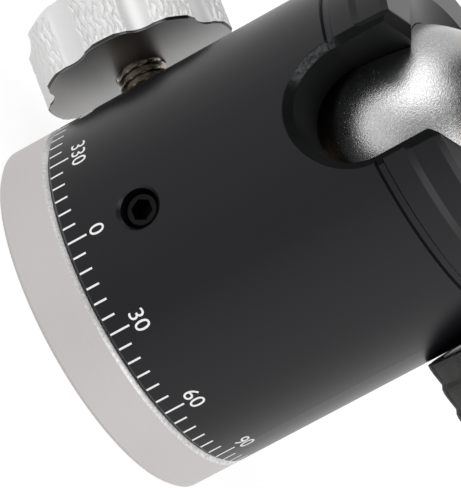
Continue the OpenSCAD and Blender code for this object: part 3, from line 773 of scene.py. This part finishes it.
def make_world():
    """White to the camera. In reflections and as light, a sweep that is brighter behind."""
    world = bpy.data.worlds.new("studio")
    bpy.context.scene.world = world
    finish = Finish(world)
    ray = finish.node("ShaderNodeTexCoord", out="Generated")

    def towards(place):
        return finish.node("ShaderNodeVectorMath", ray, studio_direction(*place),
                           settings={"operation": "DOT_PRODUCT"}, out="Value")

    level = ROOM_LEVEL - ROOM_SLOPE * towards((0, 0)) + ROOM_SIDE * towards((90, 0))
    for place, extra, start, end in PANELS:
        level = level + extra * towards(place).smooth(start, end)
    for place, share, start, end in SHADES:
        level = level * (1 - share * towards(place).smooth(start, end))
    light = LIGHT_LEVEL + LIGHT_SLOPE * towards(LIGHT_PLACE)
    glossy = finish.rays("Glossy")
    level = level * glossy + light * (1 - glossy)
    seen = finish.maximum(finish.rays("Camera"), finish.rays("Transmission"))
    finish.output(finish.node("ShaderNodeBackground", WHITE, level * (1 - seen) + seen))
    world.cycles.sampling_method = "NONE"


def make_floor():
    """Pale floor, white to the camera but for the object's shadow, clear to reflections."""
    mesh = bmesh.new()
    bmesh.ops.create_circle(mesh, cap_ends=True, radius=FLOOR_RADIUS, segments=FLOOR_SEGMENTS)
    data = bpy.data.meshes.new("floor")
    mesh.to_mesh(data)
    mesh.free()
    finish = new_finish("floor")
    pale = finish.node("ShaderNodeBsdfDiffuse", grey(FLOOR_TONE))
    glow = finish.node("ShaderNodeEmission", WHITE, FLOOR_GLOW)
    clear = finish.node("ShaderNodeBsdfTransparent")
    share = finish.rays("Camera") * FLOOR_GLOW_SHARE
    shown = finish.node("ShaderNodeMixShader", share, pale, glow)
    finish.output(finish.node("ShaderNodeMixShader", finish.rays("Glossy"), shown, clear))
    finish.owner.cycles.emission_sampling = "NONE"
    data.materials.append(finish.owner)
    add_object("floor", data)


def make_lamp(name, place, width, height, radiance):
    """A soft box at a place in the studio, with the brightness that its face shows."""
    outwards = studio_direction(*place)
    data = bpy.data.lights.new(name, "AREA")
    data.shape = "RECTANGLE"
    data.size, data.size_y = width, height
    data.energy = radiance * math.pi * width * height
    lamp = add_object(name, data)
    lamp.location = LAMP_AIM + outwards * LAMP_DISTANCE
    lamp.rotation_mode = "QUATERNION"
    lamp.rotation_quaternion = outwards.to_track_quat("Z", "Y")


def make_stage():
    """Everything round the object."""
    make_world()
    make_floor()
    for lamp in LAMPS:
        make_lamp(*lamp)
    bpy.context.scene.view_settings.view_transform = "Standard"


# -------------------------------------------------------------------- whole

def finish_nodes():
    """Finishes of the nodes that keep their own shape."""
    use(turned_silver(), "base_plate")
    use(black_housing(), "housing")
    use(satin_ball(), "ball_stem")
    use(grip_rubber(), "main_knob_grip")
    use(level_fluid(), "level_vial")
    use(plain_metal("clamp_silver", 0.80, 0.34), "clamp_knob")
    use(plain_metal("turned_steel", 0.55, 0.3), "base_bushing", "lock_bushing", "guide_pins",
        "clamp_washer", "seat_plate")
    use(plain_metal("dark_steel", 0.24, 0.26, warm=0.14), "main_stud")
    use(plain_metal("black_oxide", 0.020, 0.42), "guide_screws", "platform_screw", "clamp_screw")
    use(plain_metal("spring_steel", 0.42, 0.28), "disc_springs", "jaw_springs")
    use(plain_metal("bronze", 0.42, 0.32, warm=0.35), "pan_sleeve", "thrust_ring")
    use(moulded("ivory_plastic", IVORY, 0.45), "pan_washer", "ball_cup", "pan_pad")
    use(moulded("rose_plastic", ROSE, 0.4), "brake_shoe")


def make_pieces():
    """Pieces that add to the nodes or stand for them, with their finishes."""
    white = printed_white()
    make_ticks(white)
    make_numbers(white)
    make_pan_stud(plain_metal("burnished_steel", 0.36, 0.22, warm=0.12))
    silver = knob_silver()
    make_pan_knob(silver)
    use(silver, "pan_knob_cap")
    black = black_anodised()
    dress("clamp_base", black, "platform")
    dress("clamp_jaw", black, "jaw")
    use(black, "main_knob_core", "main_knob_cap")


make_camera()
finish_nodes()
make_pieces()
make_stage()
